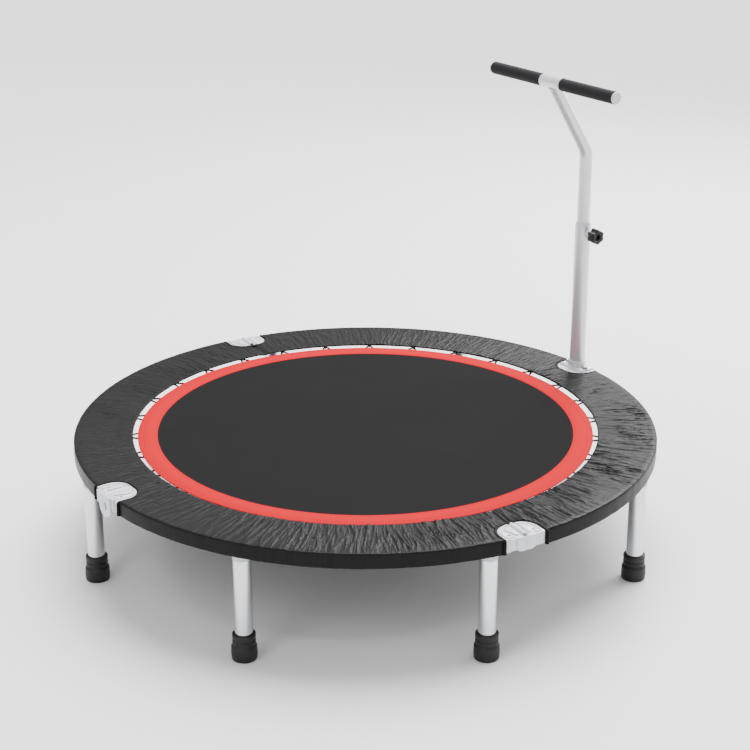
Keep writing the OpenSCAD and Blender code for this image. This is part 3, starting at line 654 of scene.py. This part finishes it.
def elastic_strap():
    loop_r = TUBE_R + 0.0012
    ends = [Vector((RING_R - 0.022, foam_z + 0.0005)), Vector((RING_R - 0.014, foam_z - 0.003))]
    turn = [Vector((RING_R + loop_r * cos(a), TUBE_Z + loop_r * sin(a)))
            for a in [radians(150 + 15 * k) for k in range(15)]]
    path = ends + turn + [Vector((pad_r - SKIRT_T, TUBE_Z + 0.008))]
    bm = bmesh.new()
    line = [bm.verts.new((-STRAP_W / 2, -p.x, p.y)) for p in path]
    edges = [bm.edges.new(pair) for pair in zip(line, line[1:])]
    grown = bmesh.ops.extrude_edge_only(bm, edges=edges)["geom"]
    bmesh.ops.translate(bm, vec=(STRAP_W, 0, 0),
                        verts=[v for v in grown if isinstance(v, bmesh.types.BMVert)])
    bmesh.ops.recalc_face_normals(bm, faces=bm.faces)
    bmesh.ops.solidify(bm, geom=bm.faces, thickness=0.001)
    bmesh.ops.recalc_face_normals(bm, faces=bm.faces)
    return bm


for half, turn in (("rear", 0), ("front", pi)):
    straps = joined([moved(elastic_strap(), at(b + turn)) for b in STRAP_BEARINGS])
    piece(f"elastic_straps_{half}", straps, black_tape, f"frame_{half}")

# %% [markdown]
# ## The mat
# The mat is a disc of woven polypropylene with a red band sewn round it. It is stretched flat by
# the springs, so a spun disc is its true shape. It creases along the fold line: two halves ride
# on the two sprung bodies, and a narrow strip between them has fine rows so that it can bend.

# %% Woven disc, band and crease
CREASE = 0.012
ROUND_STEPS, DISC_STEPS = 1440, 240
STRIP_ROWS, STRIP_COLUMNS = 120, 16
weave_r = mat_r - 0.0004


def disc():
    return turned([(0, fabric_low_z), (weave_r, fabric_low_z), (weave_r, fabric_z), (0, fabric_z)],
                  DISC_STEPS, closed=False)


def crease_strip(reach, low, high):
    """A thin strip along the fold line, with fine rows, cut to a round end."""
    bm = bmesh.new()
    bmesh.ops.create_grid(bm, x_segments=STRIP_COLUMNS, y_segments=STRIP_ROWS, size=0.5)
    bmesh.ops.scale(bm, vec=(2 * CREASE, 2.1 * reach, 1), verts=bm.verts)
    grown = bmesh.ops.extrude_face_region(bm, geom=bm.faces[:])["geom"]
    bmesh.ops.translate(bm, vec=(0, 0, high - low),
                        verts=[v for v in grown if isinstance(v, bmesh.types.BMVert)])
    bmesh.ops.recalc_face_normals(bm, faces=bm.faces)
    moved(bm, Matrix.Rotation(FOLD, 4, "Z") @ Matrix.Translation((0, 0, low)))
    tool = turned([(0, low - 0.01), (reach, low - 0.01), (reach, high + 0.01), (0, high + 0.01)],
                  DISC_STEPS, closed=False)
    return boolean(bm, tool, "INTERSECT")


def on_mat(name, cuts, finish, replaced):
    """The halves ride on the mat's bodies, and the crease rides on none."""
    made = {}
    for part, bm in cuts.items():
        body = "mat_" + part if part in ("rear", "front") else None
        stands_for = [f"{replaced}_{part}"] if body else ()
        made[part] = piece(f"{name}_{part}", bm, finish, body, stands_for)
        if body is None:
            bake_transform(made[part])
    return made


weave_cuts = {"rear": between(disc(), CREASE, 1), "front": between(disc(), -1, -CREASE),
              "crease": crease_strip(weave_r, fabric_low_z, fabric_z)}
weave = on_mat("mat_weave", weave_cuts, mat_weave, "mat_fabric")

# %% [markdown]
# The band is a tape laid on the mat's edge and turned down over it. Its rows of stitches are real
# raised threads, each a small stretched ball, because their rows catch the light at the edges.

# %% Red band
BAND_DOWN = 0.0012


def ring_of(corners):
    return turned(rounded(corners, steps=3), ROUND_STEPS)


def in_thirds(bm):
    return {"rear": between(bm, CREASE, 1), "front": between(bm, -1, -CREASE),
            "crease": between(bm, -CREASE, CREASE)}


edge_r = mat_r + 0.0003
band_shape = ring_of([(band_in_r, fabric_z, 0), (weave_r, fabric_z, 0),
                      (weave_r, fabric_z - BAND_DOWN, 0), (edge_r, fabric_z - BAND_DOWN, 0),
                      (edge_r, mat_z, 0.0005), (band_in_r, mat_z, 0.0003)])
band = on_mat("mat_band", in_thirds(band_shape), red_band, "mat_border")

# %% Stitches on the band
STITCH_LONG, STITCH_WIDE, STITCH_PITCH = 0.0042, 0.0011, 0.0056
rows = (band_in_r + 0.004, mat_r - 0.012, mat_r - 0.004)
places = {"rear": [], "front": [], "crease": []}
stitch_shape = Matrix.Diagonal((STITCH_LONG / 2, STITCH_WIDE / 2, STITCH_WIDE / 3, 1))
for row in rows:
    count = round(2 * pi * row / STITCH_PITCH)
    for k in range(count):
        place = at(2 * pi * k / count, 0, -row, mat_z)
        s = place.translation.x * cos(FOLD) + place.translation.y * sin(FOLD)
        part = "crease" if abs(s) < CREASE else "rear" if s > 0 else "front"
        places[part].append(place @ stitch_shape)
for part, spots in places.items():
    ball = bmesh.new()
    bmesh.ops.create_icosphere(ball, subdivisions=1, radius=1)
    stitches = piece(f"band_stitches_{part}", repeated(ball, spots), red_thread,
                     "mat_" + part if part != "crease" else None, sharp=180)
    if part == "crease":
        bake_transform(stitches)

# %% [markdown]
# Black webbing is sewn under the mat's edge, with a loop of strap round the bar of every V-ring. A
# tape under the crease keeps the weave from fraying there.

# %% Webbing, loops and crease tape
SPRINGS_WIDE, SPRINGS_NARROW = 8, 7
WIRE = heights("v_rings_rear")[1] - heights("v_rings_rear")[0]
ring_in_r, ring_out_r = radii("v_rings_rear")
BAR_R, TIP_R = ring_in_r + WIRE / 2, ring_out_r - WIRE / 2
RING_Z = sum(heights("v_rings_rear")) / 2
web_in_r = radii("mat_webbing_rear")[0]
web_low_z = fabric_low_z - 0.0012
LOOP_W = 0.024


def spring_bearings(start):
    wide = CROSS - FOLD
    first = [start + (i + 0.5) * wide / SPRINGS_WIDE for i in range(SPRINGS_WIDE)]
    narrow = (pi - wide) / SPRINGS_NARROW
    return first + [start + wide + (i + 0.5) * narrow for i in range(SPRINGS_NARROW)]


HALVES = {"rear": spring_bearings(FOLD), "front": spring_bearings(FOLD + pi)}


def strap_loop():
    """A sleeve of strap round the bar, pressed flat against the webbing."""
    bm = bmesh.new()
    wrap = WIRE / 2 + 0.0013
    bmesh.ops.create_cone(bm, cap_ends=True, segments=16, radius1=wrap, radius2=wrap, depth=LOOP_W)
    moved(bm, Matrix.Translation((0, -BAR_R, RING_Z)) @ Matrix.Rotation(pi / 2, 4, "Y"))
    for v in bm.verts:
        v.co.z = min(v.co.z, web_low_z + 0.0002)
    bmesh.ops.dissolve_degenerate(bm, dist=1e-6, edges=bm.edges)
    return soft_edges(bm, 0.0004, 60)


web_shape = ring_of([(web_in_r, web_low_z, 0.0004), (mat_r - 0.002, web_low_z, 0.0004),
                     (mat_r - 0.002, fabric_low_z, 0), (web_in_r, fabric_low_z, 0)])
webs = in_thirds(web_shape)
for part, bearings in HALVES.items():
    webs[part] = joined([webs[part]] + [moved(strap_loop(), at(b)) for b in bearings])
on_mat("mat_webbing", webs, black_tape, "mat_webbing")
tape_z = heights("crease_tape_rear")
crease_tape = piece("crease_tape", crease_strip(radii("crease_tape_rear")[1], *tape_z), black_tape,
                    None, ["crease_tape_rear", "crease_tape_front"])
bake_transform(crease_tape)

# %% [markdown]
# ## V-rings and springs
# A V-ring is a triangle of dipped wire: its bar is sewn into the webbing and its tip takes a spring
# hook. It is a wire along a rounded triangle. A tension spring is a close-wound helix whose last
# turn at each end is bent up into a round hook. One is made as a single wire path, and the others
# are copies turned to their bearings. Each spans the gap between the mat and the ring and rides on
# no body.

# %% V-rings
VRING_HALF, TIP_HALF = 0.018, 0.003
outline = rounded([(-VRING_HALF, -BAR_R, 0.004), (VRING_HALF, -BAR_R, 0.004),
                   (TIP_HALF, -TIP_R, 0.0028), (-TIP_HALF, -TIP_R, 0.0028)])
for part, bearings in HALVES.items():
    triangle = [Vector((p.x, p.y, RING_Z)) for p in outline]
    rings = joined([moved(rod(triangle, WIRE / 2, True, 3), at(b)) for b in bearings])
    piece(f"v_rings_{part}_wire", rings, dipped_wire, f"mat_{part}",
          [f"v_rings_{part}"])

# %% Springs
SPRING_WIRE, COIL_D, PITCH = 0.002, 0.009, 0.00235
HOOK_R = (heights("springs_rear")[1] - heights("springs_rear")[0]) / 2 - SPRING_WIRE / 2
hook_in_r = radii("springs_rear")[0] + HOOK_R + SPRING_WIRE / 2
hook_out_r = radii("springs_rear")[1] - HOOK_R - SPRING_WIRE / 2


def spring_path():
    """One wire: a hook, the coil and the other hook, drawn at the front."""
    coil_r = (COIL_D - SPRING_WIRE) / 2
    start, end = hook_in_r + HOOK_R + 0.0012, hook_out_r - HOOK_R - 0.0012
    turns = round((end - start) / PITCH)
    steps = 12
    hook = [radians(a) for a in range(325, 45, -20)]
    path = [(0, -(hook_in_r + HOOK_R * cos(a)), RING_Z + HOOK_R * sin(a)) for a in hook]
    for k in range(turns * steps + 1):
        a = 2 * pi * k / steps
        r = start + (end - start) * k / (turns * steps)
        path.append((coil_r * sin(a), -r, RING_Z + coil_r * cos(a)))
    return path + [(0, -(hook_out_r - HOOK_R * cos(a)), RING_Z + HOOK_R * sin(a))
                   for a in reversed(hook)]


spring = rod(spring_path(), SPRING_WIRE / 2, sides=1)
spring_mesh = bpy.data.meshes.new("spring")
spring.to_mesh(spring_mesh)
for half, bearings in HALVES.items():
    for number, angle in enumerate(bearings, 1):
        bm = bmesh.new()
        bm.from_mesh(spring_mesh)
        made = piece(f"spring_{half}_{number:02d}", moved(bm, at(angle)), zinc,
                     None, [f"springs_{half}"])
        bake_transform(made)
bpy.data.meshes.remove(spring_mesh)

# %% [markdown]
# ## Steelwork
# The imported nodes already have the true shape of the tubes, bolts and brackets, but their corners
# are razor sharp. A pressed or welded part has rounded corners, so a copy of such a node is
# merged, its flat faces are made whole again, and its sharp edges get a small bevel.

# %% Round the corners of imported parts
def softened(node, width, finish, body, segments=2):
    bm = bmesh.new()
    bm.from_mesh(frame["nodes"][node].data)
    bmesh.ops.remove_doubles(bm, verts=bm.verts, dist=1e-5)
    bmesh.ops.dissolve_limit(bm, angle_limit=radians(0.5), verts=bm.verts, edges=bm.edges)
    soft_edges(bm, width, 30, segments)
    return piece(f"{node}_steel", bm, finish, body, [node])


BODY_OF = {node: body for body, nodes in frame["record"]["behaviour"]["bodies"].items()
           for node in nodes}
for node in ("near_hinge_fixed_leaf", "near_hinge_moving_leaf", "far_hinge_fixed_leaf",
             "far_hinge_moving_leaf", "left_bracket_leaf", "left_bracket_ear_leaf",
             "right_bracket_leaf", "right_bracket_ear_leaf"):
    softened(node, 0.0008, silver_coat, BODY_OF[node])
softened("post_foot", 0.001, post_coat, "frame_rear")


def dress(nodes, finish):
    """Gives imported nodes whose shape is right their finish."""
    for node in nodes:
        mesh = frame["nodes"][node].data
        mesh.materials.clear()
        mesh.materials.append(finish)


dress(["frame_tube_right", "frame_tube_back", "frame_tube_left", "frame_tube_front",
       "leg_sockets_rear", "leg_sockets_front"], tube_coat)
dress(["leg_tubes_rear", "leg_tubes_front"], chrome)
dress(["leg_studs_rear", "leg_studs_front", "spring_eyes_rear", "spring_eyes_front",
       "near_hinge_pin", "far_hinge_pin", "left_bracket_rivet", "right_bracket_rivet",
       "bracket_bolts_rear", "bracket_bolts_front", "post_bolts", "post_nuts", "clamp_screw"], zinc)
dress(["lower_post", "upper_post", "crossbar", "clamp_boss"], post_coat)
dress(["post_bushing"], bushing_nylon)

# %% [markdown]
# A pressed bracket is stiffened by a raised bead round its rim and a raised island round the hinge.
# The bead is a half-sunk wire, and the island is a thin prism with soft edges.

# %% Beads and islands on the brackets
PLATE_HALF, PLATE_DEPTH, PLATE_CORNER = 0.042, 0.056, 0.034
PLATE_TOP = axis_z - 0.0005
FACE_R = pad_r - 0.002


def rim_bead(side):
    """The bead of one leaf, which stops short of the hinge line."""
    inset = 0.0045
    half, out_y = PLATE_HALF - inset, -(FACE_R - inset)
    in_y = -(FACE_R - PLATE_DEPTH + inset)
    corners = [(0.009, in_y, 0), (half, in_y, PLATE_CORNER - inset), (half, out_y, 0.004),
               (0.023, out_y, 0)]
    path = [Vector((side * p.x, p.y, PLATE_TOP - 0.0002)) for p in rounded(corners, False, 12)]
    return rod(path, 0.0024, sides=3)


def island(side):
    """Half of the raised island: wide at the back and narrow towards the face."""
    in_y, out_y = -(FACE_R - PLATE_DEPTH + 0.011), -(FACE_R - 0.008)
    corners = [(0.0105, out_y, 0), (0.0105, in_y + 0.001, 0), (0.014, in_y, 0.002),
               (0.024, in_y - 0.006, 0.008), (0.024, in_y - 0.018, 0.01), (0.016, out_y, 0.002)]
    outline = [Vector((side * p.x, p.y)) for p in rounded(corners, True, 6)]
    return soft_edges(prism(outline, PLATE_TOP - 0.0005, PLATE_TOP + 0.0027), 0.0018, 60, 3)


LEAVES = {"near_hinge_fixed": (FOLD, 1), "near_hinge_moving": (FOLD, -1),
          "far_hinge_fixed": (FOLD + pi, -1), "far_hinge_moving": (FOLD + pi, 1),
          "left_bracket": (CROSS + pi, 1), "left_bracket_ear": (CROSS + pi, -1)}
for leaf, (angle, side) in LEAVES.items():
    parts = joined([rim_bead(side), island(side)])
    piece(f"{leaf}_pressing", moved(parts, at(angle)), silver_coat,
          BODY_OF[f"{leaf}_leaf"])

# %% [markdown]
# ## Feet
# A rubber foot is moulded in one: a wide base that grips the floor and a cuff with two ribs that
# squeezes the tube. It is turned on a lathe from one profile with every corner rounded.

# %% Rubber feet
LEG_BEARINGS = {"rear": [radians(67.5 + 45 * i) for i in range(4)],
                "front": [radians(-112.5 + 45 * i) for i in range(4)]}
LEG_R = 0.0175
BASE_R, CUFF_R, RIB = 0.025, 0.021, 0.0013
BASE_TOP, CUFF_TOP, SOLE = 0.029, heights("rubber_feet_rear")[1], 0.010


def foot():
    corners = [(0, 0, 0), (BASE_R - 0.001, 0, 0.003), (BASE_R, 0.012, 0.01),
               (BASE_R - 0.0006, BASE_TOP - 0.001, 0.003),
               (CUFF_R + 0.0005, BASE_TOP + 0.002, 0.001),
               (CUFF_R, BASE_TOP + 0.006, 0.001), (CUFF_R + RIB, BASE_TOP + 0.007, 0.001),
               (CUFF_R + RIB, BASE_TOP + 0.011, 0.001), (CUFF_R, BASE_TOP + 0.012, 0.0006),
               (CUFF_R, CUFF_TOP - 0.009, 0.0006), (CUFF_R + RIB, CUFF_TOP - 0.008, 0.001),
               (CUFF_R + RIB, CUFF_TOP, 0.0018), (LEG_R + 0.0001, CUFF_TOP, 0.0006),
               (LEG_R + 0.0001, SOLE, 0), (0, SOLE, 0)]
    return turned(rounded(corners, False, 4), 48, closed=False)


for half, bearings in LEG_BEARINGS.items():
    feet = joined([moved(foot(), at(b, 0, -RING_R, 0)) for b in bearings])
    piece(f"rubber_feet_{half}_moulded", feet, rubber, f"frame_{half}",
          [f"rubber_feet_{half}"])

# %% [markdown]
# ## Handle
# The crossbar carries two foam grips with rounded ends, a steel sleeve in the middle where the post
# is welded on, and two plastic end caps. All are lathe work along the bar. The knob has six lobes:
# a round outline whose radius rises and falls six times, extruded and rounded.

# %% Lathe work along the crossbar
bar_low, bar_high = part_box("crossbar")
BAR = Matrix.Translation((bar_low + bar_high) / 2) @ Matrix.Rotation(CROSS, 4, "Z")
BAR = BAR @ Matrix.Rotation(pi / 2, 4, "Y")
BAR_R_OUT = (bar_high.z - bar_low.z) / 2


def span(node, direction, origin):
    """Where a node starts and ends along a direction, measured from a point."""
    along = [(v.co - origin).dot(direction) for v in frame["nodes"][node].data.vertices]
    return min(along), max(along)


bar_way = Vector((cos(CROSS), sin(CROSS), 0))
grip_r = (heights("grip_left")[1] - heights("grip_left")[0]) / 2
for side in ("left", "right"):
    a, b = span(f"grip_{side}", bar_way, BAR.translation)
    corners = [(BAR_R_OUT, a, 0), (grip_r, a, 0.0018), (grip_r, b, 0.0018), (BAR_R_OUT, b, 0)]
    profile = divided(rounded(corners), 0.004, lambda p: p.x > grip_r - 0.0001)
    piece(f"grip_{side}_foam", moved(turned(profile, 40), BAR), grip_foam,
          "handle", [f"grip_{side}"])
    a, b = span(f"end_cap_{side}", bar_way, BAR.translation)
    tip, root = (b, a) if b > -a else (a, b)
    inward = 1 if root > tip else -1
    flange = tip + inward * 0.004
    corners = [(0, tip, 0), (grip_r - 0.0005, tip, 0.0026), (grip_r - 0.0005, flange, 0.0004),
               (BAR_R_OUT - 0.0016, flange, 0), (BAR_R_OUT - 0.0022, root, 0.001), (0, root, 0)]
    piece(f"end_cap_{side}_moulded", moved(turned(rounded(corners, False), 40, False), BAR),
          cap_plastic, "handle", [f"end_cap_{side}"])

# %% Sleeve of the tee
a, b = span("tee_sleeve", bar_way, BAR.translation)
tee_r = (heights("tee_sleeve")[1] - heights("tee_sleeve")[0]) / 2
BORE_R, STEP_R, TEE_EDGE = BAR_R_OUT + 0.0001, tee_r - 0.0014, 0.0008
corners = [(BORE_R, a, 0), (tee_r, a, TEE_EDGE), (tee_r, a + 0.006, TEE_EDGE),
           (STEP_R, a + 0.0066, TEE_EDGE), (STEP_R, b, TEE_EDGE), (BORE_R, b, 0)]
piece("tee_sleeve_welded", moved(turned(rounded(corners), 48), BAR), post_coat,
      "handle", ["tee_sleeve"])

# %% Clamp knob
knob_low, knob_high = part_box("clamp_knob")
knob_middle = (knob_low + knob_high) / 2
knob_r = (knob_high.z - knob_low.z) / 2
k1, k2 = span("clamp_knob", bar_way, knob_middle)
LOBE = 0.0022


def knob():
    around = [2 * pi * k / 96 for k in range(96)]
    outline = [Vector(((knob_r - LOBE + LOBE * cos(6 * a)) * cos(a),
                       (knob_r - LOBE + LOBE * cos(6 * a)) * sin(a))) for a in around]
    bm = soft_edges(prism(outline, k1, k2), 0.0026, 60, 4)
    end = min((f for f in bm.faces if f.normal.z < -0.99), key=lambda f: f.calc_center_median().z)
    bmesh.ops.inset_region(bm, faces=[end], thickness=0.002, depth=0)
    bmesh.ops.inset_region(bm, faces=[end], thickness=0.0008, depth=-0.0012)
    bmesh.ops.inset_region(bm, faces=[end], thickness=0.0035, depth=0.0006)
    return bm


knob_place = Matrix.Translation(knob_middle) @ Matrix.Rotation(CROSS, 4, "Z")
knob_place = knob_place @ Matrix.Rotation(pi / 2, 4, "Y")
piece("clamp_knob_moulded", moved(knob(), knob_place), knob_nylon, "clamp_knob",
      ["clamp_knob"])

# %% [markdown]
# ## Floor, light and camera
# A pale floor, a white sky, an even ceiling and a soft box overhead give the light of a studio.
# The light from above makes flat tops brighter than upright faces. A small box lights the front,
# and two more on the right graze the pad, so that its creases catch the light.

# %% Studio
def studio():
    bm = bmesh.new()
    bmesh.ops.create_grid(bm, x_segments=1, y_segments=1, size=30)
    mesh = bpy.data.meshes.new("floor")
    bm.to_mesh(mesh)
    bm.free()
    floor = bpy.data.objects.new("floor", mesh)
    bpy.context.scene.collection.objects.link(floor)
    paint, tree, shader = material("white floor paint", 0.9, specular_ior_level=0.1)
    shader.inputs["Base Color"].default_value = linear("f4f4f4")
    mesh.materials.append(paint)
    world = bpy.data.worlds.new("white sky")
    world.use_nodes = True
    world.node_tree.nodes["Background"].inputs["Color"].default_value = (1, 1, 1, 1)
    world.node_tree.nodes["Background"].inputs["Strength"].default_value = 0.8
    bpy.context.scene.world = world


def lamp(name, place, aim, size, watts):
    """A square soft box, or a wide even sky light when it has no size."""
    light = bpy.data.lights.new(name, "AREA" if size else "SUN")
    if size:
        light.size = size
    else:
        light.angle = radians(50)
    light.energy = watts
    made = bpy.data.objects.new(name, light)
    made.location = place
    made.rotation_euler = (Vector(aim) - Vector(place)).to_track_quat("-Z", "Y").to_euler()
    bpy.context.scene.collection.objects.link(made)


studio()
lamp("even ceiling", (0.5, 1.2, 3.0), (0, 0, 0.2), 0, 5.0)
lamp("overhead box", (0.2, 0.9, 3.6), (0, 0, 0.2), 2.6, 80)
lamp("front box", (-1.8, -2.6, 2.4), (0, 0, 0.4), 1.4, 25)
lamp("low right box", (2.7, 1.7, 1.2), (0.3, -0.2, 0.25), 1.0, 40)
lamp("rear right box", (1.4, 3.2, 2.3), (0.2, -0.3, 0.25), 1.2, 90)

# %% Camera
camera = bpy.data.cameras.new("camera")
camera.sensor_width = 36
camera.lens = 84.15
viewer = bpy.data.objects.new("camera", camera)
viewer.location = (0.00636, -3.42378, 1.67525)
viewer.rotation_euler = (pi / 2 - 0.3676, 0, -0.00397)
bpy.context.scene.collection.objects.link(viewer)
bpy.context.scene.camera = viewer
